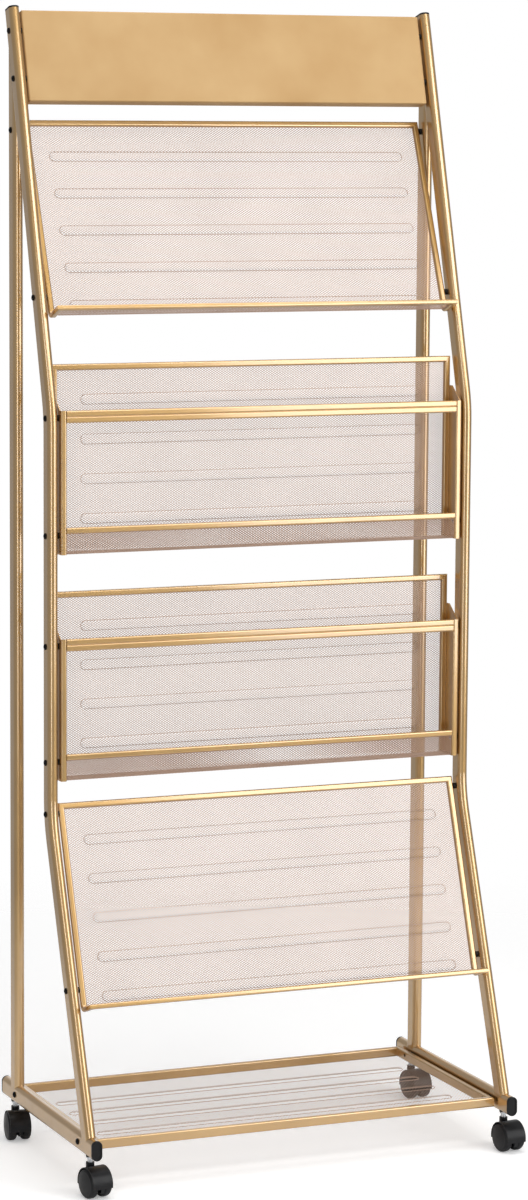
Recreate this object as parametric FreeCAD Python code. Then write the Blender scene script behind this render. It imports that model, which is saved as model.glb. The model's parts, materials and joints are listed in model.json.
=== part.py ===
import FreeCAD
import Part
import math
import os

V = FreeCAD.Vector
ORIGIN = V(0, 0, 0)
ACROSS = V(1, 0, 0)
BACK = V(0, 1, 0)
UP = V(0, 0, 1)

# Whole stand in millimetres: the front faces -Y and the floor is Z = 0
WIDTH = 600.0
FRONT_POST_Y = 2.4
REAR_POST_SETBACK = 132.6

# Clearances
WELD_GAP = 0.1
PLUG_GAP = 0.15
SCREW_HOLE_GAP = 0.25
THREAD_GAP = 0.05
RUNNING_GAP = 0.05
AXLE_SEAT_GAP = 0.02
SWIVEL_GAP = 0.3
SOCKET_GAP = 0.1

# Casters: wheel radius, trail behind the stem, hood and stem
WHEEL_RADIUS = 19.0
WHEEL_INNER_FACE = 3.2
WHEEL_TREAD_END = 11.4
WHEEL_EDGE_ROUND = 4.3
WHEEL_DOME = 1.6
WHEEL_INNER_ROUND = 5.0
AXLE_RADIUS = 2.5
AXLE_HALF_LENGTH = 13.6
AXLE_END_ROOM = 0.6
CASTER_TRAIL = 13.0
FENDER_ROOM = 0.9
FENDER_WALL = 1.2
FENDER_HALF_WIDTH = 14.0
FENDER_HEM_Z = 15.0
WEB_HALF_THICK = 2.5
WEB_HEM_Z = 8.5
BOSS_RADIUS = 5.5
BOSS_RISE = 2.9
STEM_RADIUS = 3.5
STEM_DEPTH = 4.5
STEM_SHOW = 7.0
COLLAR_RADIUS = 5.0
COLLAR_TALL = 2.0
SOCKET_RADIUS = 5.5
SOCKET_HEIGHT = 9.0
FRONT_CASTER_INSET = 23.0
REAR_CASTER_INSET = 32.0
CASTER_YAW = {"front_left": 10.0, "front_right": 6.0, "rear_left": -6.0, "rear_right": 6.0}

# Flat-oval tubing of the side frames
TUBE_THICK = 14.0
TUBE_DEEP = 26.0
TUBE_WALL = 1.2
BASE_FRONT_REACH = 170.4
BASE_REAR_REACH = 174.6
FOOT_INSET = 24.9
LOWER_BEND_Z = 458.5
UPPER_BEND_Z = 982.5
UPPER_LEAN = 15.9
POST_BEND_RADIUS = 150.0
UPPER_LEG = 534.4

# End caps
BASE_CAP = 4.0
TOP_CAP = 2.5
CAP_PLUG = 12.0
CAP_RIM = 2.2
CAP_RECESS = 0.8

# Square bar of the shelf, pocket and tray rails
BAR = 8.0
BAR_EDGE = 2.2
MITRE_TOOL = 60.0

# Mesh sheet: thickness, grid of openings and pressed ribs
MESH = 0.8
MESH_STRIP = 4.0
MESH_COLUMNS = 12
RIB_WIDTH = 14.0
RIB_HEIGHT = 2.5

# Header panel, placed along the leaning top of the posts
HEADER_START = 411.1
HEADER_TALL = 121.4
HEADER_DEEP = 16.0
HEADER_SHEET = 1.0
HEADER_ROUND = 2.0
HEADER_FORWARD = 6.0
HEADER_SCREWS = (442.6, 506.1)

# Display shelves: length from the fold, lip, ribs and screws
SHELF_TALL = 269.0
SHELF_LIP = 36.0
SHELF_RAIL_THICK = 6.5
SHELF_FOLD_RADIUS = 6.0
SHELF_RIB_FIRST = 15.0
SHELF_RIB_DROP = 50.0
SHELF_RIB_COUNT = 5
SHELF_RIB_MARGIN = 22.5
SHELF_SPACER = 3.5
SHELF_SCREW_LOW = 26.0
SHELF_SCREW_DROP = 13.5
SHELF_SCREW_BITE = 7.0
UPPER_SHELF_Z = 1130.0
UPPER_SHELF_BACK = 3.0
LOWER_SHELF_Z = 249.5

# Brochure pockets
POCKET_TOP_UNIT_Z = 803.5
POCKET_UNIT_GAP = 52.0
POCKET_FRONT = 12.4
POCKET_BACK = 31.6
POCKET_TALL = 242.0
POCKET_PLATE = 1.2
POCKET_FRONT_DROP = 57.0
POCKET_PLATE_DROP = 39.0
POCKET_PLATE_SHOULDER = 16.0
POCKET_BAR_DEEP = 5.0
POCKET_RAIL_DEEP = 7.0
POCKET_BEAD = 8.3
POCKET_BEAD_LAP = 0.6
POCKET_LOWER_RAIL = 8.0
POCKET_LIP = 27.0
POCKET_LIP_INSET = 2.5
POCKET_FOLD_RADIUS = 5.0
POCKET_RIB_FIRST = 41.5
POCKET_RIB_DROP = 46.0
POCKET_RIB_COUNT = 4
POCKET_RIB_MARGIN = 33.0
POCKET_SCREW_LOW = 24.0
POCKET_SCREW_DROP = 67.0

# Tray, set in from the ends of the base tubes
TRAY_FRONT_INSET = 31.0
TRAY_REAR_INSET = 15.0
TRAY_RAIL_TALL = 13.0
TRAY_RAIL_DROP = 1.5
TRAY_RIB_PITCH = 52.0
TRAY_RIB_COUNT = 4
TRAY_RIB_MARGIN = 25.0
TRAY_FRONT_SCREW_INSET = 50.0
TRAY_REAR_SCREW_INSET = 49.3

# Screws, spacers and nuts
SCREW_RADIUS = 2.5
SCREW_HEAD_RADIUS = 4.0
SCREW_HEAD_TALL = 2.2
SCREW_KEY = 3.0
SCREW_KEY_DEEP = 1.2
PANEL_SPACER = 3.0
PANEL_SCREW_REACH = 5.0
SPACER_RADIUS = 4.0
NUT_ACROSS = 8.0
NUT_TALL = 4.0

# Levels and lines that follow from the sizes above
AXLE_Z = WHEEL_RADIUS
FENDER_INNER = WHEEL_RADIUS + FENDER_ROOM
FENDER_OUTER = FENDER_INNER + FENDER_WALL
BOSS_TOP = AXLE_Z + FENDER_OUTER + BOSS_RISE
BASE_BOTTOM = BOSS_TOP + STEM_SHOW
BASE_Z = BASE_BOTTOM + TUBE_DEEP / 2
POST_X = (WIDTH - TUBE_THICK) / 2
POST_INNER_X = WIDTH / 2 - TUBE_THICK
SHELF_X = POST_INNER_X - SHELF_SPACER
PANEL_X = POST_INNER_X - PANEL_SPACER
REAR_POST_Y = FRONT_POST_Y + REAR_POST_SETBACK
SLANT = (BASE_FRONT_REACH - FOOT_INSET) / (LOWER_BEND_Z - BASE_Z)
LEAN = math.tan(math.radians(UPPER_LEAN))
LEAN_ALONG = V(0, math.sin(math.radians(UPPER_LEAN)), math.cos(math.radians(UPPER_LEAN)))
UPPER_BEND = V(0, FRONT_POST_Y, UPPER_BEND_Z)
SHELF_SCREW_PITCH = SHELF_TALL - SHELF_SCREW_LOW - SHELF_SCREW_DROP
POCKET_FRONT_TALL = POCKET_TALL - POCKET_FRONT_DROP
POCKET_PLATE_TALL = POCKET_TALL - POCKET_PLATE_DROP
POCKET_SCREWS = (POCKET_SCREW_LOW, POCKET_TALL - POCKET_SCREW_DROP)
POCKET_PITCH = POCKET_TALL + POCKET_UNIT_GAP
POCKET_BOTTOMS = {"upper": POCKET_TOP_UNIT_Z, "lower": POCKET_TOP_UNIT_Z - POCKET_PITCH}
TRAY_SCREWS = (TRAY_FRONT_SCREW_INSET - BASE_FRONT_REACH, BASE_REAR_REACH - TRAY_REAR_SCREW_INSET)


def line(a, b):
    return Part.LineSegment(a, b).toShape()


def arc(a, middle, b):
    return Part.Arc(a, middle, b).toShape()


def moved(shape, turn, at):
    """Copy of a shape turned about X by a number of degrees, then shifted."""
    copy = shape.copy()
    copy.rotate(ORIGIN, ACROSS, turn)
    copy.translate(at)
    return copy


def mirrored(shape):
    return shape.mirror(ORIGIN, ACROSS)


def both_sides(shapes):
    return shapes + [mirrored(shape) for shape in shapes]


def rounded_path(points, radius):
    """Straight runs through the points, joined by tangent arcs."""
    edges = []
    start = points[0]
    for before, corner, after in zip(points, points[1:], points[2:]):
        into = (before - corner).normalize()
        away = (after - corner).normalize()
        half = into.getAngle(away) / 2
        reach = radius / math.tan(half)
        bisector = (into + away).normalize()
        middle = corner + bisector * (radius / math.sin(half) - radius)
        edges.append(line(start, corner + into * reach))
        edges.append(arc(corner + into * reach, middle, corner + away * reach))
        start = corner + away * reach
    edges.append(line(start, points[-1]))
    return Part.Wire(edges)


def flat_oval(thick, deep):
    """Outline with flat sides facing X and round ends facing Y."""
    r = thick / 2
    c = deep / 2 - r
    return Part.Wire([
        line(V(r, -c, 0), V(r, c, 0)),
        arc(V(r, c, 0), V(0, c + r, 0), V(-r, c, 0)),
        line(V(-r, c, 0), V(-r, -c, 0)),
        arc(V(-r, -c, 0), V(0, -c - r, 0), V(r, -c, 0)),
    ])


def rounded_box_outline(wide, deep, radius):
    """Rectangle across X and Y with rounded corners."""
    x = wide / 2
    y = deep / 2
    corners = [V(0, -y, 0), V(x, -y, 0), V(x, y, 0), V(-x, y, 0), V(-x, -y, 0), V(0, -y, 0)]
    return rounded_path(corners, radius)


def rectangle(wide, deep):
    x = wide / 2
    y = deep / 2
    return Part.makePolygon([V(-x, -y, 0), V(x, -y, 0), V(x, y, 0), V(-x, y, 0), V(-x, -y, 0)])


def swept(points, radius, outline):
    """Outline carried along a path in the YZ plane; the outline's X stays X."""
    start = points[0]
    heading = points[1] - start
    turn = math.degrees(math.atan2(-heading.y, heading.z))
    path = rounded_path(points, radius)
    return path.makePipeShell([moved(outline, turn, start)], True, False)


def beam(start, end, wide, deep):
    """Straight rounded bar. Along Z: wide is X, deep is Y. Along Y: X, Z. Along X: Z, Y."""
    profile = Part.Face(rounded_box_outline(wide, deep, BAR_EDGE))
    profile.Placement = FreeCAD.Placement(start, FreeCAD.Rotation(UP, end - start))
    return profile.extrude(end - start)


def mitre_waste(corner, inward, waste, across):
    """Wedge that trims a bar end along the line from an outer corner inward."""
    a = corner + inward * MITRE_TOOL
    b = corner - inward * MITRE_TOOL
    c = corner + waste * MITRE_TOOL
    face = Part.Face(Part.makePolygon([a, b, c, a]))
    face.translate(across * -MITRE_TOOL)
    return face.extrude(across * (2 * MITRE_TOOL))


def rod(start, end, radius):
    return Part.makeCylinder(radius, (end - start).Length, start, end - start)


def pressed_ribs(sheet, positions, half_length, turn):
    """Press round-ended ribs into a sheet; unturned ribs run along X and stand out towards -Y."""
    half = RIB_WIDTH / 2
    radius = (half * half + RIB_HEIGHT * RIB_HEIGHT) / (2 * RIB_HEIGHT)
    depth = radius - RIB_HEIGHT - MESH / 2
    end = half_length - half

    def capsule(size):
        balls = [Part.makeSphere(size, V(x, depth, 0)) for x in (-end, end)]
        return rod(V(-end, depth, 0), V(end, depth, 0), size).fuse(balls)

    room = 2 * half_length
    front = Part.makeBox(2 * room, room, 2 * room, V(-room, MESH / 2 - room, -room))
    outer = capsule(radius).common(front)
    shell = outer.cut(capsule(radius - MESH))
    sheet = sheet.cut([moved(outer, turn, at) for at in positions])
    return sheet.fuse([moved(shell, turn, at) for at in positions])


def spread(first, last, count):
    """Evenly spaced values from first to last."""
    return [first + (last - first) * i / (count - 1) for i in range(count)]


def clear_bands(start, ribs, end):
    """Flat stretches of a sheet between its ends and its ribs, as (middle, height), for the ones worth opening."""
    half = RIB_WIDTH / 2
    lows = [start] + [rib + half for rib in ribs]
    highs = [rib - half for rib in ribs] + [end]
    bands = [((low + high) / 2, high - low - 2 * MESH_STRIP) for low, high in zip(lows, highs)]
    return [band for band in bands if band[1] > MESH_STRIP]


def row_of_openings(half_width, tall, turn, at):
    """Cutters for a row of openings along X in a sheet that faces -Y before it is turned about X."""
    wide = (2 * half_width - MESH_STRIP * (MESH_COLUMNS + 1)) / MESH_COLUMNS
    edge = half_width - MESH_STRIP - wide / 2
    opening = Part.makeBox(wide, 2 * MESH, tall, V(-wide / 2, -MESH, -tall / 2))
    return [moved(opening, turn, at + ACROSS * x) for x in spread(-edge, edge, MESH_COLUMNS)]


def pressed_tray(wide, tall, deep, wall, radius):
    """Shallow tray: closed face at Y = 0, open towards +Y, standing up from Z = 0."""
    def block(inset, corner):
        size = (wide - 2 * inset, deep, tall - 2 * inset)
        box = Part.makeBox(*size, V(-size[0] / 2, inset, inset))
        open_y = inset + deep
        rim = [e for e in box.Edges if min(v.Y for v in e.Vertexes) < open_y - deep / 2]
        return box.makeFillet(corner, rim)

    return block(0, radius).cut(block(wall, radius - wall))


# Side frames, right-hand side
def front_post_points():
    foot = V(POST_X, FRONT_POST_Y - (LOWER_BEND_Z - BASE_Z) * SLANT, BASE_Z)
    low = V(POST_X, FRONT_POST_Y, LOWER_BEND_Z)
    high = V(POST_X, FRONT_POST_Y, UPPER_BEND_Z)
    return [foot, low, high, high + LEAN_ALONG * UPPER_LEG]


def rear_post_points():
    top = UPPER_BEND_Z + REAR_POST_SETBACK / LEAN
    return [V(POST_X, REAR_POST_Y, BASE_Z), V(POST_X, REAR_POST_Y, top)]


def base_points():
    front = V(POST_X, FRONT_POST_Y - BASE_FRONT_REACH, BASE_Z)
    return [front, front + BACK * (BASE_FRONT_REACH + BASE_REAR_REACH)]


def tube_solid(points, grow):
    outline = flat_oval(TUBE_THICK + 2 * grow, TUBE_DEEP + 2 * grow)
    return swept(points, POST_BEND_RADIUS, outline)


def tube(points):
    return tube_solid(points, 0).cut(tube_solid(points, -TUBE_WALL))


def lean_of(low_y, high_y):
    return math.asin((high_y - low_y) / SHELF_SCREW_PITCH)


def shelf_screw_places(low, high_y):
    lean = lean_of(low.y, high_y)
    return [low, V(0, high_y, low.z + SHELF_SCREW_PITCH * math.cos(lean))]


upper_low = V(0, FRONT_POST_Y + (UPPER_SHELF_Z - UPPER_BEND_Z) * LEAN + UPPER_SHELF_BACK, UPPER_SHELF_Z)
lower_low = V(0, FRONT_POST_Y - (LOWER_BEND_Z - LOWER_SHELF_Z) * SLANT, LOWER_SHELF_Z)
shelf_screws = {
    "upper": shelf_screw_places(upper_low, REAR_POST_Y),
    "lower": shelf_screw_places(lower_low, FRONT_POST_Y),
}
header_screws = [UPPER_BEND + LEAN_ALONG * along for along in HEADER_SCREWS]
pocket_screws = [V(0, FRONT_POST_Y, bottom + rise)
                 for bottom in POCKET_BOTTOMS.values() for rise in POCKET_SCREWS]
tray_screws = [V(0, FRONT_POST_Y + y, BASE_Z) for y in TRAY_SCREWS]
long_screws = shelf_screws["upper"] + shelf_screws["lower"]
short_screws = header_screws + pocket_screws + tray_screws
caster_places = {
    "front": V(0, FRONT_POST_Y - BASE_FRONT_REACH + FRONT_CASTER_INSET, 0),
    "rear": V(0, FRONT_POST_Y + BASE_REAR_REACH - REAR_CASTER_INSET, 0),
}


def screw_holes(places):
    reach = WIDTH
    radius = SCREW_RADIUS + SCREW_HOLE_GAP
    return [rod(place, place + ACROSS * reach, radius) for place in places]


def side_frame():
    base_tool = tube_solid(base_points(), WELD_GAP)
    holes = screw_holes(long_screws + short_screws)
    socket_holes = [rod(place + V(POST_X, 0, 0), place + V(POST_X, 0, BASE_Z), SOCKET_RADIUS + SOCKET_GAP)
                    for place in caster_places.values()]
    front_tool = tube_solid(front_post_points(), WELD_GAP)
    front = tube(front_post_points()).cut([base_tool] + holes)
    rear = tube(rear_post_points()).cut([base_tool, front_tool] + holes)
    base = tube(base_points()).cut(holes + socket_holes)
    return {"front_post": front, "rear_post": rear, "base_tube": base}


def end_cap(thick):
    """Cap at the end of a tube: the tube ends at Z = 0 and the cap stands above it."""
    outline = flat_oval(TUBE_THICK, TUBE_DEEP)
    flange = Part.Face(outline).extrude(UP * thick)
    rim = [e for e in flange.Edges if min(v.Z for v in e.Vertexes) > thick / 2]
    flange = flange.makeFillet(thick / 4, rim)
    recess = Part.Face(flat_oval(TUBE_THICK - 2 * CAP_RIM, TUBE_DEEP - 2 * CAP_RIM))
    recess.translate(UP * (thick - CAP_RECESS))
    inset = 2 * (TUBE_WALL + PLUG_GAP)
    plug = Part.Face(flat_oval(TUBE_THICK - inset, TUBE_DEEP - inset)).extrude(UP * -CAP_PLUG)
    return flange.cut(recess.extrude(UP * thick)).fuse(plug)


# Header
def header_panel():
    tray = pressed_tray(2 * PANEL_X, HEADER_TALL, HEADER_DEEP, HEADER_SHEET, HEADER_ROUND)
    tray.translate(V(0, -HEADER_FORWARD, HEADER_START))
    tray = moved(tray, -UPPER_LEAN, UPPER_BEND)
    holes = screw_holes(header_screws)
    return tray.cut(both_sides(holes))


# Display shelf, drawn upright with the fold at the origin and the lip towards -Y
def shelf_unit():
    middle = SHELF_X - BAR / 2
    inner = SHELF_X - BAR
    down_in = V(-1, 0, -1).normalize()
    down_out = V(1, 0, -1).normalize()
    back_in = V(-1, 1, 0).normalize()
    back_out = V(1, 1, 0).normalize()
    top_corner = V(SHELF_X, 0, SHELF_TALL)
    lip_corner = V(SHELF_X, -SHELF_LIP, 0)

    def trimmed(bar, corner, inward, waste, across):
        cutter = mitre_waste(corner, inward, waste, across)
        return bar.cut([cutter, mirrored(cutter)])

    top_z = SHELF_TALL - BAR / 2
    top = beam(V(-SHELF_X, 0, top_z), V(SHELF_X, 0, top_z), BAR, SHELF_RAIL_THICK)
    top = trimmed(top, top_corner, down_in, down_out, BACK)
    lip_y = BAR / 2 - SHELF_LIP
    lip = beam(V(-SHELF_X, lip_y, 0), V(SHELF_X, lip_y, 0), SHELF_RAIL_THICK, BAR)
    lip = trimmed(lip, lip_corner, back_in, back_out, UP)
    bent = [V(middle, 0, SHELF_TALL), V(middle, 0, 0), V(middle, -SHELF_LIP, 0)]
    side = swept(bent, SHELF_FOLD_RADIUS, rounded_box_outline(BAR, SHELF_RAIL_THICK, BAR_EDGE))
    side = trimmed(side, top_corner, down_in, down_out * -1, BACK)
    side = trimmed(side, lip_corner, back_in, back_out * -1, UP)
    taps = []
    for rise in (SHELF_SCREW_LOW, SHELF_SCREW_LOW + SHELF_SCREW_PITCH):
        start = V(SHELF_X - SHELF_SCREW_BITE - THREAD_GAP, 0, rise)
        taps.append(rod(start, V(WIDTH, 0, rise), SCREW_RADIUS + THREAD_GAP))
    side = side.cut(taps)
    run = [V(0, BAR - SHELF_LIP, 0), ORIGIN, V(0, 0, SHELF_TALL - BAR)]
    sheet = swept(run, SHELF_FOLD_RADIUS, rectangle(2 * inner, MESH))
    ribs = spread(SHELF_RIB_FIRST, SHELF_TALL - SHELF_RIB_DROP, SHELF_RIB_COUNT)
    sheet = pressed_ribs(sheet, [V(0, 0, z) for z in ribs], inner - SHELF_RIB_MARGIN, 0)
    openings = []
    for z, tall in clear_bands(SHELF_FOLD_RADIUS, ribs, SHELF_TALL - BAR):
        openings += row_of_openings(inner, tall, 0, V(0, 0, z))
    for y, deep in clear_bands(BAR - SHELF_LIP, [], -SHELF_FOLD_RADIUS):
        openings += row_of_openings(inner, deep, -90, V(0, y, 0))
    sheet = sheet.cut(openings)
    return {"mesh": sheet, "top_rail": top, "lip_rail": lip, "right_rail": side, "left_rail": mirrored(side)}


def place_shelf(unit, screws):
    low, high = screws
    lean = lean_of(low.y, high.y)
    fold = low - V(0, math.sin(lean), math.cos(lean)) * SHELF_SCREW_LOW
    return {name: moved(shape, -math.degrees(lean), fold) for name, shape in unit.items()}


# Brochure pocket, drawn with its underside at Z = 0 and the front post line at Y = 0
def pocket_unit():
    inner = PANEL_X - BAR
    bar_x = PANEL_X - BAR / 2
    plate_front = POCKET_BAR_DEEP - POCKET_FRONT
    plate_back = POCKET_BACK - BAR
    back_y = POCKET_BACK - BAR / 2
    top_z = POCKET_TALL - BAR / 2
    side_cut = V(-1, 0, -1).normalize()
    side_out = V(1, 0, -1).normalize()
    corner = V(PANEL_X, 0, POCKET_TALL)

    waste = mitre_waste(corner, side_cut, side_out, BACK)
    top = beam(V(-PANEL_X, back_y, top_z), V(PANEL_X, back_y, top_z), BAR, BAR)
    top = top.cut([waste, mirrored(waste)])
    side = beam(V(bar_x, back_y, 0), V(bar_x, back_y, POCKET_TALL), BAR, BAR)
    side = side.cut(mitre_waste(corner, side_cut, side_out * -1, BACK))

    outline = Part.makePolygon([
        V(PANEL_X, plate_front, 0),
        V(PANEL_X, plate_back, 0),
        V(PANEL_X, plate_back, POCKET_PLATE_TALL),
        V(PANEL_X, POCKET_PLATE_SHOULDER, POCKET_PLATE_TALL),
        V(PANEL_X, plate_front, POCKET_FRONT_TALL),
        V(PANEL_X, plate_front, 0),
    ])
    plate = Part.Face(outline).extrude(ACROSS * -POCKET_PLATE)
    flange = Part.makeBox(BAR, plate_back - plate_front, POCKET_PLATE, V(inner, plate_front, 0))
    holes = screw_holes([V(0, 0, rise) for rise in POCKET_SCREWS])
    plate = plate.fuse(flange).cut(holes)

    bar_y = POCKET_BAR_DEEP / 2 - POCKET_FRONT
    bar = beam(V(bar_x, bar_y, 0), V(bar_x, bar_y, POCKET_FRONT_TALL), BAR, POCKET_BAR_DEEP)

    rail_y = POCKET_RAIL_DEEP / 2 - POCKET_FRONT
    rail_z = POCKET_FRONT_TALL - POCKET_BEAD / 2
    bead = beam(V(-inner, rail_y, rail_z), V(inner, rail_y, rail_z), POCKET_BEAD, POCKET_RAIL_DEEP)
    upper = bead.fuse(moved(bead, 0, UP * (POCKET_BEAD_LAP - POCKET_BEAD))).removeSplitter()
    rail_z = POCKET_LIP + POCKET_LOWER_RAIL / 2
    lower = beam(V(-inner, rail_y, rail_z), V(inner, rail_y, rail_z), POCKET_LOWER_RAIL, POCKET_RAIL_DEEP)

    lip_y = POCKET_LIP_INSET - POCKET_FRONT
    run = [V(0, lip_y, POCKET_LIP), V(0, lip_y, MESH / 2), V(0, back_y, MESH / 2), V(0, back_y, POCKET_TALL - BAR)]
    sheet = swept(run, POCKET_FOLD_RADIUS, rectangle(2 * inner, MESH))
    ribs = spread(POCKET_RIB_FIRST, POCKET_TALL - POCKET_RIB_DROP, POCKET_RIB_COUNT)
    sheet = pressed_ribs(sheet, [V(0, back_y, z) for z in ribs], inner - POCKET_RIB_MARGIN, 0)
    openings = []
    fold_top = POCKET_FOLD_RADIUS + MESH
    for z, tall in clear_bands(fold_top, ribs, POCKET_TALL - BAR):
        openings += row_of_openings(inner, tall, 0, V(0, back_y, z))
    for y, deep in clear_bands(lip_y + fold_top, [], back_y - fold_top):
        openings += row_of_openings(inner, deep, -90, V(0, y, MESH / 2))
    for z, tall in clear_bands(fold_top, [], POCKET_LIP):
        openings += row_of_openings(inner, tall, 0, V(0, lip_y, z))
    sheet = sheet.cut(openings)
    return {
        "mesh": sheet,
        "back_rails": Part.makeCompound([top, side, mirrored(side)]),
        "right_plate": plate,
        "left_plate": mirrored(plate),
        "front_upper_rail": upper,
        "front_lower_rail": lower,
        "front_bars": Part.makeCompound([bar, mirrored(bar)]),
    }


# Tray between the base tubes
def tray_unit():
    front = FRONT_POST_Y - BASE_FRONT_REACH + TRAY_FRONT_INSET
    rear = FRONT_POST_Y + BASE_REAR_REACH - TRAY_REAR_INSET
    rail_z = BASE_Z - TRAY_RAIL_DROP
    half = BAR / 2
    rear_in = V(-1, -1, 0).normalize()
    rear_out = V(1, -1, 0).normalize()
    front_in = V(-1, 1, 0).normalize()
    front_out = V(1, 1, 0).normalize()
    rear_corner = V(PANEL_X, rear, rail_z)
    front_corner = V(PANEL_X, front, rail_z)

    def cross_rail(y, corner, inward, waste):
        bar = beam(V(-PANEL_X, y, rail_z), V(PANEL_X, y, rail_z), TRAY_RAIL_TALL, BAR)
        cutter = mitre_waste(corner, inward, waste, UP)
        return bar.cut([cutter, mirrored(cutter)])

    side_x = PANEL_X - half
    side = beam(V(side_x, front, rail_z), V(side_x, rear, rail_z), BAR, TRAY_RAIL_TALL)
    taps = [rod(place, place + ACROSS * WIDTH, SCREW_RADIUS + THREAD_GAP) for place in tray_screws]
    side = side.cut(taps + [
        mitre_waste(rear_corner, rear_in, rear_out * -1, UP),
        mitre_waste(front_corner, front_in, front_out * -1, UP),
    ])

    floor = rail_z - TRAY_RAIL_TALL / 2 - MESH / 2
    sheet = Part.makeBox(2 * side_x, rear - front - BAR, MESH, V(-side_x, front + half, floor - MESH / 2))
    middle = (front + rear) / 2
    rib_span = TRAY_RIB_PITCH * (TRAY_RIB_COUNT - 1) / 2
    ribs = spread(middle - rib_span, middle + rib_span, TRAY_RIB_COUNT)
    sheet = pressed_ribs(sheet, [V(0, y, floor) for y in ribs], side_x - TRAY_RIB_MARGIN, -90)
    openings = []
    for y, deep in clear_bands(front + BAR, ribs, rear - BAR):
        openings += row_of_openings(PANEL_X - BAR, deep, -90, V(0, y, floor))
    sheet = sheet.cut(openings)
    return {
        "mesh": sheet,
        "front_rail": cross_rail(front + half, front_corner, front_in, front_out),
        "rear_rail": cross_rail(rear - half, rear_corner, rear_in, rear_out),
        "right_rail": side,
        "left_rail": mirrored(side),
    }


# Fasteners on the right-hand side
def screw(place, length):
    """Button-head screw from the outer face of the post inward."""
    outer = V(WIDTH / 2, place.y, place.z)
    shank = rod(outer - ACROSS * length, outer, SCREW_RADIUS)
    shoulder = SCREW_HEAD_TALL / 3
    profile = Part.Wire([
        line(ORIGIN, V(0, SCREW_HEAD_RADIUS, 0)),
        line(V(0, SCREW_HEAD_RADIUS, 0), V(shoulder, SCREW_HEAD_RADIUS, 0)),
        arc(V(shoulder, SCREW_HEAD_RADIUS, 0), V(SCREW_HEAD_TALL * 0.82, SCREW_HEAD_RADIUS * 0.75, 0),
            V(SCREW_HEAD_TALL, SCREW_HEAD_RADIUS * 0.45, 0)),
        line(V(SCREW_HEAD_TALL, SCREW_HEAD_RADIUS * 0.45, 0), V(SCREW_HEAD_TALL, 0, 0)),
        line(V(SCREW_HEAD_TALL, 0, 0), ORIGIN),
    ])
    head = Part.Face(profile).revolve(ORIGIN, ACROSS, 360)
    key = hexagon(SCREW_KEY, SCREW_KEY_DEEP * 2)
    key.translate(ACROSS * (SCREW_HEAD_TALL - SCREW_KEY_DEEP))
    head = head.cut(key)
    head.translate(outer)
    return shank.fuse(head)


def hexagon(across, tall):
    """Hexagonal prism along X with two flats level."""
    radius = across / math.sqrt(3)
    corners = [V(0, radius * math.cos(math.radians(60 * i)), radius * math.sin(math.radians(60 * i)))
               for i in range(7)]
    return Part.Face(Part.makePolygon(corners)).extrude(ACROSS * tall)


def spacer(place, length):
    start = V(POST_INNER_X - length, place.y, place.z)
    end = V(POST_INNER_X, place.y, place.z)
    return rod(start, end, SPACER_RADIUS).cut(rod(start, end, SCREW_RADIUS + SCREW_HOLE_GAP))


def nut(place, seat):
    start = V(seat - NUT_TALL, place.y, place.z)
    block = hexagon(NUT_ACROSS, NUT_TALL)
    block.translate(start)
    return block.cut(rod(start, start + ACROSS * NUT_TALL, SCREW_RADIUS + THREAD_GAP))


def fasteners():
    long_reach = TUBE_THICK + SHELF_SPACER + SHELF_SCREW_BITE
    short_reach = TUBE_THICK + PANEL_SPACER + PANEL_SCREW_REACH
    nuts = [nut(place, PANEL_X - HEADER_SHEET) for place in header_screws]
    nuts += [nut(place, PANEL_X - POCKET_PLATE) for place in pocket_screws]
    spacers = [spacer(place, SHELF_SPACER) for place in long_screws]
    spacers += [spacer(place, PANEL_SPACER) for place in short_screws]
    return {
        "shelf_screws": [screw(place, long_reach) for place in long_screws],
        "panel_screws": [screw(place, short_reach) for place in short_screws],
        "screw_spacers": spacers,
        "plate_nuts": nuts,
    }


# Casters, drawn with the stem on the Z axis, the axle along X and the wheels trailing towards -Y
def caster_hood():
    axle = V(0, -CASTER_TRAIL, AXLE_Z)

    def drum(radius, half_width):
        return rod(axle - ACROSS * half_width, axle + ACROSS * half_width, radius)

    def above(z):
        size = 4 * FENDER_OUTER
        return Part.makeBox(size, size, size, V(-size / 2, -size / 2 - CASTER_TRAIL, z))

    room = drum(FENDER_INNER, 2 * FENDER_HALF_WIDTH)
    fender = drum(FENDER_OUTER, FENDER_HALF_WIDTH).cut(room).common(above(FENDER_HEM_Z))
    web = drum(FENDER_INNER + FENDER_WALL / 2, WEB_HALF_THICK).common(above(WEB_HEM_Z))
    boss = rod(V(0, 0, AXLE_Z), V(0, 0, BOSS_TOP), BOSS_RADIUS).cut(room)
    bore = rod(V(0, 0, BOSS_TOP - STEM_DEPTH - SWIVEL_GAP), V(0, 0, BOSS_TOP), STEM_RADIUS + RUNNING_GAP)
    seat = drum(AXLE_RADIUS + AXLE_SEAT_GAP, FENDER_HALF_WIDTH)
    return fender.fuse([web, boss]).cut([bore, seat])


def caster_axle():
    axle = V(0, -CASTER_TRAIL, AXLE_Z)
    return rod(axle - ACROSS * AXLE_HALF_LENGTH, axle + ACROSS * AXLE_HALF_LENGTH, AXLE_RADIUS)


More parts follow.
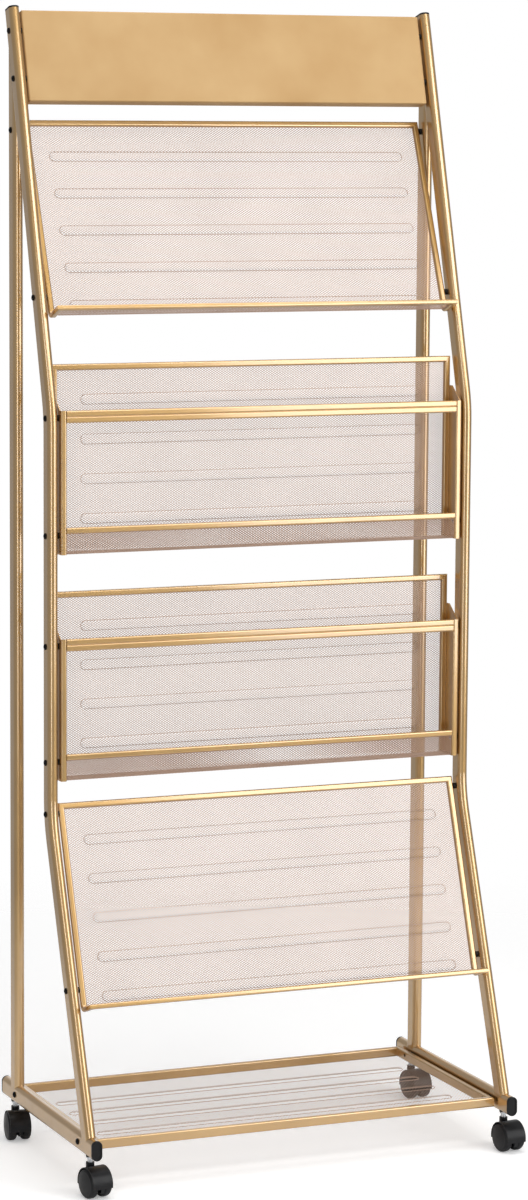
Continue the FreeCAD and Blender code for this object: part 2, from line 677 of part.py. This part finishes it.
def caster_wheel():
    """Wheel on the +X side of the web, turned about the axle."""
    bore = AXLE_RADIUS + RUNNING_GAP
    bore_end = AXLE_HALF_LENGTH + AXLE_END_ROOM
    edge_x = WHEEL_TREAD_END + WHEEL_EDGE_ROUND
    edge_r = WHEEL_RADIUS - WHEEL_EDGE_ROUND
    bend = WHEEL_EDGE_ROUND * math.sqrt(0.5)
    crown = edge_x + WHEEL_DOME
    dome_radius = (edge_r * edge_r + WHEEL_DOME * WHEEL_DOME) / (2 * WHEEL_DOME)
    dome_half = math.asin(edge_r / dome_radius) / 2
    dome_middle = V(crown - dome_radius * (1 - math.cos(dome_half)), dome_radius * math.sin(dome_half), 0)
    points = [
        V(bore_end, 0, 0),
        V(bore_end, bore, 0),
        V(WHEEL_INNER_FACE, bore, 0),
        V(WHEEL_INNER_FACE, WHEEL_RADIUS - WHEEL_INNER_ROUND, 0),
    ]
    tread_start = V(WHEEL_INNER_FACE + WHEEL_INNER_ROUND, WHEEL_RADIUS, 0)
    tread_end = V(WHEEL_TREAD_END, WHEEL_RADIUS, 0)
    inner_bend = WHEEL_INNER_ROUND * (1 - math.sqrt(0.5))
    edges = [line(a, b) for a, b in zip(points, points[1:])]
    edges.append(arc(points[-1], V(WHEEL_INNER_FACE + inner_bend, WHEEL_RADIUS - inner_bend, 0), tread_start))
    edges.append(line(tread_start, tread_end))
    edges.append(arc(tread_end, V(WHEEL_TREAD_END + bend, edge_r + bend, 0), V(edge_x, edge_r, 0)))
    edges.append(arc(V(edge_x, edge_r, 0), dome_middle, V(crown, 0, 0)))
    edges.append(line(V(crown, 0, 0), points[0]))
    wheel = Part.Face(Part.Wire(edges)).revolve(ORIGIN, ACROSS, 360)
    wheel.translate(V(0, -CASTER_TRAIL, AXLE_Z))
    return wheel


def caster_stem():
    bottom = V(0, 0, BOSS_TOP - STEM_DEPTH)
    stem = rod(bottom, V(0, 0, BASE_BOTTOM + SOCKET_HEIGHT), STEM_RADIUS)
    collar = rod(V(0, 0, BASE_BOTTOM - COLLAR_TALL), V(0, 0, BASE_BOTTOM), COLLAR_RADIUS)
    return stem.fuse(collar)


def caster_socket():
    bottom = V(0, 0, BASE_BOTTOM)
    top = V(0, 0, BASE_BOTTOM + SOCKET_HEIGHT)
    return rod(bottom, top, SOCKET_RADIUS).cut(rod(bottom, top, STEM_RADIUS + THREAD_GAP))


def at_caster(shape, place, yaw):
    copy = shape.copy()
    copy.rotate(ORIGIN, UP, yaw)
    copy.translate(place)
    return copy


# Collect every piece under its name
pieces = {}

for name, shape in side_frame().items():
    pieces["right_" + name] = shape
    pieces["left_" + name] = mirrored(shape)

post_end = front_post_points()[-1]
front_end, rear_end = base_points()
pieces["post_top_caps"] = Part.makeCompound(both_sides([moved(end_cap(TOP_CAP), -UPPER_LEAN, post_end)]))
base_caps = [moved(end_cap(BASE_CAP), 90, front_end), moved(end_cap(BASE_CAP), -90, rear_end)]
pieces["base_tube_end_caps"] = Part.makeCompound(both_sides(base_caps))

pieces["header_panel"] = header_panel()

shelf = shelf_unit()
for level, places in shelf_screws.items():
    for name, shape in place_shelf(shelf, places).items():
        pieces[level + "_shelf_" + name] = shape

pocket = pocket_unit()
front_bars = []
for level, bottom in POCKET_BOTTOMS.items():
    for name, shape in pocket.items():
        placed = moved(shape, 0, V(0, FRONT_POST_Y, bottom))
        if name == "front_bars":
            front_bars += placed.Solids
        else:
            pieces[level + "_pocket_" + name] = placed
pieces["pocket_front_bars"] = Part.makeCompound(front_bars)

for name, shape in tray_unit().items():
    pieces["tray_" + name] = shape

for name, shapes in fasteners().items():
    pieces[name] = Part.makeCompound(both_sides(shapes))

stems = []
sockets = []
for corner, yaw in CASTER_YAW.items():
    end, side = corner.split("_")
    sign = 1 if side == "right" else -1
    place = caster_places[end] + V(sign * POST_X, 0, 0)
    wheel = caster_wheel()
    wheels = {sign: "outer", -sign: "inner"}
    stems.append(at_caster(caster_stem(), place, 0))
    sockets.append(at_caster(caster_socket(), place, 0))
    pieces[corner + "_hood"] = at_caster(caster_hood(), place, yaw)
    pieces[corner + "_axle"] = at_caster(caster_axle(), place, yaw)
    pieces[corner + "_" + wheels[1] + "_wheel"] = at_caster(wheel, place, yaw)
    pieces[corner + "_" + wheels[-1] + "_wheel"] = at_caster(mirrored(wheel), place, yaw)
pieces["caster_stems"] = Part.makeCompound(stems)
pieces["caster_sockets"] = Part.makeCompound(sockets)

os.makedirs("parts", exist_ok=True)
for name, shape in pieces.items():
    shape.exportStep("parts/" + name + ".step")
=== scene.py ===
import json
import math
import bmesh
import bpy
from mathutils import Matrix, Vector


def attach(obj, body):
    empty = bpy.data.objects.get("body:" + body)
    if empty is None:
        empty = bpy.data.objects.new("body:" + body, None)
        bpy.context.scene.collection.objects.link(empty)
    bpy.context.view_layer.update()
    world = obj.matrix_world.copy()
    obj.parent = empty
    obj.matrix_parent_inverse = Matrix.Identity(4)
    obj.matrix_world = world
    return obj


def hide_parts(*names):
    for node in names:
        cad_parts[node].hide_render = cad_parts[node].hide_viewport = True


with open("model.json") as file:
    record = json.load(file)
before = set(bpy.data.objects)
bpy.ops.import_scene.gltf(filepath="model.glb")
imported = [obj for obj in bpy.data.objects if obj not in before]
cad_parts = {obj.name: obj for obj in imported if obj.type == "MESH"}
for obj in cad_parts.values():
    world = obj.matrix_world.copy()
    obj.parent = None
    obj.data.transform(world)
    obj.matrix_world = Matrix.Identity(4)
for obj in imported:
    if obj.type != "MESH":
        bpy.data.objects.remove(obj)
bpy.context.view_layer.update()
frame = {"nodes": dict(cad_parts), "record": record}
scene = bpy.context.scene
MM = 0.001

# Expanded mesh, in millimetres. The real mesh is too fine for single cells to show, and it is drawn coarser
# so that its strands show and the panels stay light.
CELL_WIDE = 4.6
CELL_TALL = 3.0
STRAND = 0.7
STRAND_THICK = 0.4
TRAY_CELL_TALL = 6.0
TRAY_STRAND = 0.36
TRAY_STRAND_THICK = 0.2
SAME_POINT = 0.001

# Share of half a sheet's length by which a cell has to pass the middle to belong to the far half
PAST_MIDDLE = 0.001

# Ribs pressed into the mesh and the loop round each of them, in millimetres. Each loop is partly the crease
# of the pressing and partly painted shade: a solid strand that darkens the rib's edge where shade falls on
# its flank
RIB_HALF = 7.0
RIB_HEIGHT = 2.5
RIB_FLANK = 2.4
CREASE_SHADE_LOOP = 0.6
CREASE_SHADE_LOOP_SIDES = 22

# Where the panels sit, in millimetres and degrees, as in the CAD model. A run is the sheet's side view.
POST_Y = 2.4
SHELF_HALF = 274.5
SHELF_RUN = [(-28.0, 0.0), (0.0, 0.0), (0.0, 261.0)]
SHELF_FOLD = 6.0
SHELF_RIBS = [15.0 + 51.0 * i for i in range(5)]
SHELF_RIB_REACH = 252.0
SHELF_PLACES = {"upper": (37.4942, 1105.9678, 22.43453), "lower": (-83.1995, 225.0026, 19.57419)}
POCKET_HALF = 275.0
POCKET_RUN = [(-9.9, 27.0), (-9.9, 0.4), (27.6, 0.4), (27.6, 234.0)]
POCKET_FOLD = 5.0
POCKET_RIBS = [41.5 + 51.5 * i for i in range(4)]
POCKET_RIB_REACH = 242.0
POCKET_BOTTOMS = {"upper": 803.5, "lower": 509.5}
TRAY_HALF = 279.0
TRAY_RUN = [(-133.0, 54.6), (158.0, 54.6)]
TRAY_FOLD = 0.0
TRAY_RIB_PITCH = 52.0
TRAY_RIB_COUNT = 4
TRAY_RIB_REACH = 254.0


def colour(code):
    """Linear RGBA of an sRGB hex code."""
    channels = [int(code[i:i + 2], 16) / 255 for i in (0, 2, 4)]
    return tuple(c / 12.92 if c <= 0.04045 else ((c + 0.055) / 1.055) ** 2.4 for c in channels) + (1.0,)


def add(tree, kind, inputs=None, **settings):
    """New node with its settings; an input is a value or the socket that feeds it."""
    made = tree.nodes.new(kind)
    for name, value in settings.items():
        setattr(made, name, value)
    for name, value in (inputs or {}).items():
        if isinstance(value, bpy.types.NodeSocket):
            tree.links.new(value, made.inputs[name])
        else:
            made.inputs[name].default_value = value
    return made


def new_material(name):
    """Empty material, its node tree and the Object coordinates that its patterns read."""
    material = bpy.data.materials.new(name)
    material.use_nodes = True
    tree = material.node_tree
    tree.nodes.clear()
    place = add(tree, "ShaderNodeTexCoord").outputs["Object"]
    return material, tree, place


def per_size(size_mm):
    """Noise scale that gives features of about size_mm."""
    return 1 / (size_mm * MM)


# Noise lies mostly between these two values
NOISE_SPREAD = {"From Min": 0.3, "From Max": 0.7}

# Sockets of a colour mix, whose names are shared with other kinds of mix
MIX_SHARE = 0
MIX_FIRST = 6
MIX_SECOND = 7
MIX_RESULT = 2

# Powder coat, sprayed and baked: colour clouds, gloss drifts where the powder flowed, and orange peel.
# Real peel is 2 to 3 mm across, and it is drawn at 9 mm so that it shows.
COAT_CLOUD = 90.0
COAT_FLOW = 25.0
COAT_DRIFT = (-0.03, 0.04)
COAT_PEEL = 9.0
COAT_PEEL_HIGH = 0.05
COAT_PEEL_STRENGTH = 0.3
CLEAR_LAYER = {"Coat Roughness": 0.12, "Coat IOR": 2.3}


def powder_coat(name, dark, light, metallic, rough, clear):
    """Coated steel; clear is the weight of the clear top layer."""
    material, tree, place = new_material(name)
    cloud = add(tree, "ShaderNodeTexNoise", {"Vector": place, "Scale": per_size(COAT_CLOUD), "Detail": 3.0})
    share = add(tree, "ShaderNodeMapRange", {"Value": cloud.outputs["Fac"], **NOISE_SPREAD})
    base = add(tree, "ShaderNodeMix", {MIX_SHARE: share.outputs["Result"], MIX_FIRST: colour(dark),
                                       MIX_SECOND: colour(light)}, data_type="RGBA")
    flow = add(tree, "ShaderNodeTexNoise", {"Vector": place, "Scale": per_size(COAT_FLOW), "Detail": 3.0})
    gloss = add(tree, "ShaderNodeMapRange", {
        "Value": flow.outputs["Fac"], **NOISE_SPREAD,
        "To Min": rough + COAT_DRIFT[0], "To Max": rough + COAT_DRIFT[1]})
    peel = add(tree, "ShaderNodeTexNoise", {"Vector": place, "Scale": per_size(COAT_PEEL), "Detail": 1.0})
    bump = add(tree, "ShaderNodeBump", {"Height": peel.outputs["Fac"], "Strength": COAT_PEEL_STRENGTH,
                                        "Distance": COAT_PEEL_HIGH * MM})
    skin = add(tree, "ShaderNodeBsdfPrincipled", {
        "Base Color": base.outputs[MIX_RESULT], "Metallic": metallic, "Roughness": gloss.outputs["Result"],
        "Normal": bump.outputs["Normal"], "Coat Weight": clear, **CLEAR_LAYER})
    add(tree, "ShaderNodeOutputMaterial", {"Surface": skin.outputs["BSDF"]})
    return material


# Moulded plastic: the grain of a spark-eroded mould and faint patches of dust.
# Real grain is about 0.1 mm, and each finish gives the coarser size that shows.
DUST_PATCH = 12.0
DUST_DRIFT = (-0.06, 0.08)
GRAIN_HIGH = 0.08
GRAIN_STRENGTH = 0.25
PLASTIC_SPECULAR = 0.3


def moulded_plastic(name, dark, light, rough, grain_mm):
    """Moulded plastic with a grain of a size in millimetres."""
    material, tree, place = new_material(name)
    patch = add(tree, "ShaderNodeTexNoise", {"Vector": place, "Scale": per_size(DUST_PATCH), "Detail": 4.0})
    share = add(tree, "ShaderNodeMapRange", {"Value": patch.outputs["Fac"], **NOISE_SPREAD})
    base = add(tree, "ShaderNodeMix", {MIX_SHARE: share.outputs["Result"], MIX_FIRST: colour(dark),
                                       MIX_SECOND: colour(light)}, data_type="RGBA")
    gloss = add(tree, "ShaderNodeMapRange", {
        "Value": patch.outputs["Fac"], **NOISE_SPREAD,
        "To Min": rough + DUST_DRIFT[0], "To Max": rough + DUST_DRIFT[1]})
    grain = add(tree, "ShaderNodeTexNoise", {"Vector": place, "Scale": per_size(grain_mm), "Detail": 3.0})
    bump = add(tree, "ShaderNodeBump", {"Height": grain.outputs["Fac"], "Strength": GRAIN_STRENGTH,
                                        "Distance": GRAIN_HIGH * MM})
    skin = add(tree, "ShaderNodeBsdfPrincipled", {
        "Base Color": base.outputs[MIX_RESULT], "Roughness": gloss.outputs["Result"],
        "Specular IOR Level": PLASTIC_SPECULAR, "Normal": bump.outputs["Normal"]})
    add(tree, "ShaderNodeOutputMaterial", {"Surface": skin.outputs["BSDF"]})
    return material


# Turned and plated steel: fine marks round each piece and a mottled film.
# Real marks are about 0.1 mm apart, and they are drawn at 0.35 mm so that they show.
TURNING_MARK = 0.35
TURNING_DRAW = (0.15, 0.15, 1.0)
TURNING_HIGH = 0.05
TURNING_STRENGTH = 0.2
PLATE_FILM = 4.0
FILM_DRIFT = (-0.05, 0.08)


def turned_steel(name, dark, light, rough):
    """Plated steel with turning marks that run round Z."""
    material, tree, place = new_material(name)
    film = add(tree, "ShaderNodeTexNoise", {"Vector": place, "Scale": per_size(PLATE_FILM), "Detail": 3.0})
    share = add(tree, "ShaderNodeMapRange", {"Value": film.outputs["Fac"], **NOISE_SPREAD})
    base = add(tree, "ShaderNodeMix", {MIX_SHARE: share.outputs["Result"], MIX_FIRST: colour(dark),
                                       MIX_SECOND: colour(light)}, data_type="RGBA")
    gloss = add(tree, "ShaderNodeMapRange", {
        "Value": film.outputs["Fac"], **NOISE_SPREAD,
        "To Min": rough + FILM_DRIFT[0], "To Max": rough + FILM_DRIFT[1]})
    drawn = add(tree, "ShaderNodeMapping", {"Vector": place, "Scale": TURNING_DRAW})
    marks = add(tree, "ShaderNodeTexNoise", {"Vector": drawn.outputs["Vector"],
                                             "Scale": per_size(TURNING_MARK)})
    bump = add(tree, "ShaderNodeBump", {"Height": marks.outputs["Fac"], "Strength": TURNING_STRENGTH,
                                        "Distance": TURNING_HIGH * MM})
    skin = add(tree, "ShaderNodeBsdfPrincipled", {
        "Base Color": base.outputs[MIX_RESULT], "Metallic": 1.0, "Roughness": gloss.outputs["Result"],
        "Normal": bump.outputs["Normal"]})
    add(tree, "ShaderNodeOutputMaterial", {"Surface": skin.outputs["BSDF"]})
    return material


finishes = {
    # Tube and rails: metal flake under a glossy clear layer, with warm flats and pale, narrow highlights
    "gold_paint": powder_coat("satin_gold_powder_coat", "c0944c", "cda25b", 0.95, 0.34, 1.0),
    # Header: the same gold without the clear layer, flat and even over the whole panel
    "header_paint": powder_coat("matt_gold_powder_coat", "b5905d", "c09e6d", 0.3, 0.5, 0.0),
    # Mesh: a thin, pinkish coat on narrow strands, so dull that no strand glints
    "gold_mesh": powder_coat("gold_coated_mesh", "b69884", "c2a592", 0.2, 0.42, 0.0),
    # Caps, spacers and sockets: dull black with a soft sheen at the edges
    "black_plastic": moulded_plastic("black_moulded_plastic", "0b0b0c", "131315", 0.48, 0.5),
    # Casters: smoother nylon that shows a clearer highlight on hood and wheel
    "caster_plastic": moulded_plastic("black_nylon", "0b0b0d", "141417", 0.36, 0.8),
    # Screws: dark oxide that glints on the button heads
    "black_steel": turned_steel("black_oxide_steel", "1b1b1c", "2c2b2a", 0.42),
    # Stems, axles and nuts: bright, slightly blue plate
    "zinc_steel": turned_steel("bright_zinc_plate", "b9bcc0", "d6d8da", 0.26),
}

for part in frame["record"]["subparts"]:
    cad = frame["nodes"][part["node"]]
    for slot in cad.material_slots:
        slot.material = finishes[part["material_slot"]]


def rounded_run(points, radius):
    """Lines and arcs through points in the YZ plane, each as its length, start, heading and curvature."""
    pieces = []
    start = Vector(points[0])
    for corner, after in zip(points[1:], points[2:]):
        corner = Vector(corner)
        into = (corner - start).normalized()
        away = (Vector(after) - corner).normalized()
        turn = into.angle_signed(away) * -1
        reach = radius * math.tan(abs(turn) / 2)
        first = corner - into * reach
        pieces.append(((first - start).length, start, into, 0.0))
        pieces.append((radius * abs(turn), first, into, math.copysign(1 / radius, turn)))
        start = corner + away * reach
    last = Vector(points[-1])
    pieces.append(((last - start).length, start, (last - start).normalized(), 0.0))
    return pieces


def run_point(pieces, distance):
    """Point and left-hand normal at a distance along a rounded run."""
    for length, start, heading, bend in pieces:
        if distance <= length or pieces[-1][1] is start:
            break
        distance -= length
    side = Vector((-heading.y, heading.x))
    if not bend:
        return start + heading * distance, side
    angle = distance * bend
    point = start + heading * (math.sin(angle) / bend) + side * ((1 - math.cos(angle)) / bend)
    return point, side * math.cos(angle) - heading * math.sin(angle)


def rib_rise(x, s, ribs, reach):
    """Height of the pressed, round-ended ribs at a point of the flat sheet."""
    along = max(abs(x) - (reach - RIB_HALF), 0.0)
    near = min(math.hypot(along, s - rib) for rib in ribs)
    return RIB_HEIGHT * min(max((RIB_HALF - near) / RIB_FLANK, 0.0), 1.0)


def cut_open(bm, width):
    """Open every face and leave strands of a width in millimetres along its edges."""
    faces = bm.faces[:]
    inset = bmesh.ops.inset_individual(bm, faces=faces, thickness=width / 2 * MM, use_even_offset=True)
    bmesh.ops.delete(bm, geom=faces, context="FACES")
    return inset["faces"]


def ridge_behind(bm, knots, thick):
    """Close flat strands with a ridge behind them: a turned copy whose knots are pushed back."""
    copy = bmesh.ops.duplicate(bm, geom=bm.verts[:] + bm.edges[:] + bm.faces[:])
    copied_faces = [item for item in copy["geom"] if isinstance(item, bmesh.types.BMFace)]
    bmesh.ops.reverse_faces(bm, faces=copied_faces)
    for knot, normal in knots:
        copy["vert_map"][knot].co -= normal * thick * MM
    bmesh.ops.remove_doubles(bm, verts=bm.verts[:], dist=SAME_POINT * MM)
    bmesh.ops.bridge_loops(bm, edges=[edge for edge in bm.edges if edge.is_boundary])


def finished(name, bm, material):
    """Scene object made of a bmesh and one material."""
    mesh = bpy.data.meshes.new(name)
    bm.to_mesh(mesh)
    bm.free()
    mesh.materials.append(material)
    made = bpy.data.objects.new(name, mesh)
    scene.collection.objects.link(made)
    return made


def mesh_piece(name, node, bm, place):
    """Put a piece of a mesh panel in its place and let it stand for the panel's CAD node."""
    bm.transform(place)
    piece = finished(name, bm, finishes["gold_mesh"])
    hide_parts(node)
    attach(piece, "stand")


def mesh_sheet(run, total, half_width, cell_tall, rib_lines, reach):
    """Diamond lattice laid on a folded sheet with pressed ribs, and the half that each face belongs to."""
    sheet = bmesh.new()
    bmesh.ops.create_grid(sheet, x_segments=round(2 * half_width / CELL_WIDE),
                          y_segments=round(total / cell_tall), size=1.0)
    inner_edges = [edge for edge in sheet.edges if not edge.is_boundary]
    bmesh.ops.poke(sheet, faces=sheet.faces[:])
    bmesh.ops.dissolve_edges(sheet, edges=inner_edges, use_verts=False)
    halves = ["far" if face.calc_center_median().y > PAST_MIDDLE else "near" for face in sheet.faces]
    for vert in sheet.verts:
        x = half_width * vert.co.x
        s = total * (vert.co.y + 1) / 2
        point, normal = run_point(run, s)
        spot = point + normal * rib_rise(x, s, rib_lines, reach)
        vert.co = (x * MM, spot.x * MM, spot.y * MM)
    return sheet, halves


def rib_crease_shade_loops(run, rib_lines, reach):
    """Thin round-ended loops along the feet of the ribs: partly the crease of the pressing, partly painted
    shade that draws the ribs' edges as dark lines.
    """
    bm = bmesh.new()
    for rib in rib_lines:
        loop = bmesh.ops.create_circle(bm, cap_ends=True, segments=CREASE_SHADE_LOOP_SIDES, radius=RIB_HALF)["verts"]
        for vert in loop:
            point, _ = run_point(run, rib + vert.co.y)
            x = vert.co.x + math.copysign(reach - RIB_HALF, vert.co.x)
            vert.co = (x * MM, point.x * MM, point.y * MM)
    bm.normal_update()
    bmesh.ops.solidify(bm, geom=cut_open(bm, 2 * CREASE_SHADE_LOOP), thickness=CREASE_SHADE_LOOP * MM)
    return bm


def mesh_panel(panel, node, points, radius, half_width, ribs, reach, place,
               cell_tall=CELL_TALL, strand=STRAND, thick=STRAND_THICK):
    """Mesh panel in two halves, with its rib loops of crease and painted shade; ribs are distances from the
    far end.
    """
    run = rounded_run(points, radius)
    total = sum(piece[0] for piece in run)
    rib_lines = [total - rib for rib in ribs]
    sheet, halves = mesh_sheet(run, total, half_width, cell_tall, rib_lines, reach)
    for half in ("near", "far"):
        bm = sheet.copy()
        others = [face for face, side in zip(bm.faces, halves) if side != half]
        bmesh.ops.delete(bm, geom=others, context="FACES")
        bm.normal_update()
        knots = [(vert, vert.normal.copy()) for vert in bm.verts]
        cut_open(bm, strand)
        ridge_behind(bm, knots, thick)
        mesh_piece(panel + "_expanded_mesh_" + half, node, bm, place)
    sheet.free()
    # The rib loops are partly the crease of the pressing and partly painted shade along the ribs' edges
    mesh_piece(panel + "_rib_crease_shade_loops", node, rib_crease_shade_loops(run, rib_lines, reach), place)


def placed(y, z, lean):
    """Place of a panel drawn upright: leaned back, then shifted."""
    return Matrix.Translation((0, y * MM, z * MM)) @ Matrix.Rotation(-math.radians(lean), 4, "X")


for level, (y, z, lean) in SHELF_PLACES.items():
    ribs = [SHELF_RUN[-1][1] - rib for rib in SHELF_RIBS]
    mesh_panel(level + "_shelf", level + "_shelf_mesh", SHELF_RUN, SHELF_FOLD, SHELF_HALF,
               ribs, SHELF_RIB_REACH, placed(y, z, lean))
for level, bottom in POCKET_BOTTOMS.items():
    ribs = [POCKET_RUN[-1][1] - rib for rib in POCKET_RIBS]
    mesh_panel(level + "_pocket", level + "_pocket_mesh", POCKET_RUN, POCKET_FOLD, POCKET_HALF,
               ribs, POCKET_RIB_REACH, placed(POST_Y, bottom, 0))
tray_middle = (TRAY_RUN[1][0] - TRAY_RUN[0][0]) / 2
tray_ribs = [tray_middle + TRAY_RIB_PITCH * (i - (TRAY_RIB_COUNT - 1) / 2) for i in range(TRAY_RIB_COUNT)]
mesh_panel("tray", "tray_mesh", TRAY_RUN, TRAY_FOLD, TRAY_HALF, tray_ribs, TRAY_RIB_REACH,
           placed(0, 0, 0), TRAY_CELL_TALL, TRAY_STRAND, TRAY_STRAND_THICK)

# Pale studio floor: matt board with a faint unevenness that fades into the white surroundings.
# Radius and fade in metres, the unevenness in millimetres.
FLOOR_RADIUS = 2.0
FLOOR_SIDES = 96
FLOOR_FADE = (0.7, 1.9)
FLOOR_CLOUD = 400.0
FLOOR_GLOW = 0.3


def floor_material():
    """Matt white board that glows a little for the camera alone, so that it shows white with its shadow."""
    material, tree, place = new_material("white_studio_floor")
    cloud = add(tree, "ShaderNodeTexNoise", {"Vector": place, "Scale": per_size(FLOOR_CLOUD)})
    base = add(tree, "ShaderNodeMix", {MIX_SHARE: cloud.outputs["Fac"], MIX_FIRST: colour("f6f6f6"),
                                       MIX_SECOND: colour("fbfbfb")}, data_type="RGBA")
    distance = add(tree, "ShaderNodeVectorMath", {0: place}, operation="LENGTH")
    fade = add(tree, "ShaderNodeMapRange", {
        "Value": distance.outputs["Value"], "From Min": FLOOR_FADE[0], "From Max": FLOOR_FADE[1],
        "To Min": 1.0, "To Max": 0.0}, interpolation_type="SMOOTHSTEP")
    path = add(tree, "ShaderNodeLightPath")
    glow = add(tree, "ShaderNodeMath", {0: path.outputs["Is Camera Ray"], 1: FLOOR_GLOW},
               operation="MULTIPLY")
    board = add(tree, "ShaderNodeBsdfPrincipled", {
        "Base Color": base.outputs[MIX_RESULT], "Roughness": 0.8, "Specular IOR Level": 0.2,
        "Alpha": fade.outputs["Result"], "Emission Color": colour("ffffff"),
        "Emission Strength": glow.outputs["Value"]})
    add(tree, "ShaderNodeOutputMaterial", {"Surface": board.outputs["BSDF"]})
    return material


disc = bmesh.new()
bmesh.ops.create_circle(disc, cap_ends=True, segments=FLOOR_SIDES, radius=FLOOR_RADIUS)
finished("floor", disc, floor_material())

# White surroundings: metal sees a bright wall behind the stand and a dimmer room elsewhere.
# The wall's edge is soft, between two cosines of the angle from its middle.
WALL_MIDDLE = (0.386, 0.913, 0.0)
WALL_EDGE = (0.78, 0.98)
ROOM_GLOW = 0.38

world = bpy.data.worlds.new("studio")
scene.world = world
world.use_nodes = True
tree = world.node_tree
tree.nodes.clear()
path = add(tree, "ShaderNodeLightPath")
heading = add(tree, "ShaderNodeTexCoord").outputs["Generated"]
behind = add(tree, "ShaderNodeVectorMath", {0: heading, 1: WALL_MIDDLE}, operation="DOT_PRODUCT")
wall = add(tree, "ShaderNodeMapRange", {"Value": behind.outputs["Value"],
                                        "From Min": WALL_EDGE[0], "From Max": WALL_EDGE[1]})
shine = add(tree, "ShaderNodeMath", {0: path.outputs["Is Glossy Ray"], 1: wall.outputs["Result"]},
            operation="MULTIPLY")
direct = add(tree, "ShaderNodeMath", {0: path.outputs["Is Camera Ray"], 1: shine.outputs["Value"]},
             operation="MAXIMUM")
white = add(tree, "ShaderNodeMath", {0: direct.outputs["Value"], 1: path.outputs["Is Transmission Ray"]},
            operation="MAXIMUM")
glow = add(tree, "ShaderNodeMapRange", {"Value": white.outputs["Value"], "To Min": ROOM_GLOW, "To Max": 1.0})
backdrop = add(tree, "ShaderNodeBackground", {"Color": colour("ffffff"),
                                              "Strength": glow.outputs["Result"]})
add(tree, "ShaderNodeOutputWorld", {"Surface": backdrop.outputs["Background"]})


def softbox(name, at, target, wide, tall, power):
    """Rectangular lamp turned to a target, in metres and watts."""
    lamp = bpy.data.lights.new(name, "AREA")
    lamp.shape = "RECTANGLE"
    lamp.size = wide
    lamp.size_y = tall
    lamp.energy = power
    holder = bpy.data.objects.new(name, lamp)
    holder.location = at
    holder.rotation_euler = (Vector(target) - Vector(at)).to_track_quat("-Z", "Y").to_euler()
    scene.collection.objects.link(holder)


# Two upright softboxes draw the lines along the posts, the key light brightens their leaning tops,
# and the top light falls on rails and tray
softbox("front_left", (-1.83, -2.26, 1.2), (0, 0, 0.8), 0.5, 2.4, 13)
softbox("front_right", (1.8, -2.4, 1.35), (0, 0, 0.8), 1.7, 2.4, 36)
softbox("key_light", (0.75, -2.5, 2.75), (0, 0, 1.0), 2.4, 0.6, 17)
softbox("top_light", (0, -0.3, 3.2), (0, 0, 0), 2.4, 2.0, 36)

# Camera fitted to the photograph, 528 by 1200 pixels; the focus is in heights of the picture
CAMERA_AT = Vector((-1895.8, -4491.5, 1373.3)) * MM
CAMERA_AHEAD = Vector((0.3861, 0.9132, -0.1304)).normalized()
CAMERA_ROLL = math.radians(0.38)
CAMERA_FOCUS = 3745 / 1200
SENSOR_HEIGHT = 36.0

right = CAMERA_AHEAD.cross(Vector((0, 0, 1))).normalized()
up = right.cross(CAMERA_AHEAD)
tilted_right = right * math.cos(CAMERA_ROLL) + up * math.sin(CAMERA_ROLL)
tilted_up = up * math.cos(CAMERA_ROLL) - right * math.sin(CAMERA_ROLL)
lens = bpy.data.cameras.new("camera")
lens.sensor_fit = "VERTICAL"
lens.sensor_height = SENSOR_HEIGHT
lens.lens = CAMERA_FOCUS * SENSOR_HEIGHT
camera = bpy.data.objects.new("camera", lens)
turn = Matrix((tilted_right, tilted_up, -CAMERA_AHEAD)).transposed()
camera.matrix_world = Matrix.Translation(CAMERA_AT) @ turn.to_4x4()
scene.collection.objects.link(camera)
scene.camera = camera
scene.view_settings.view_transform = "Standard"
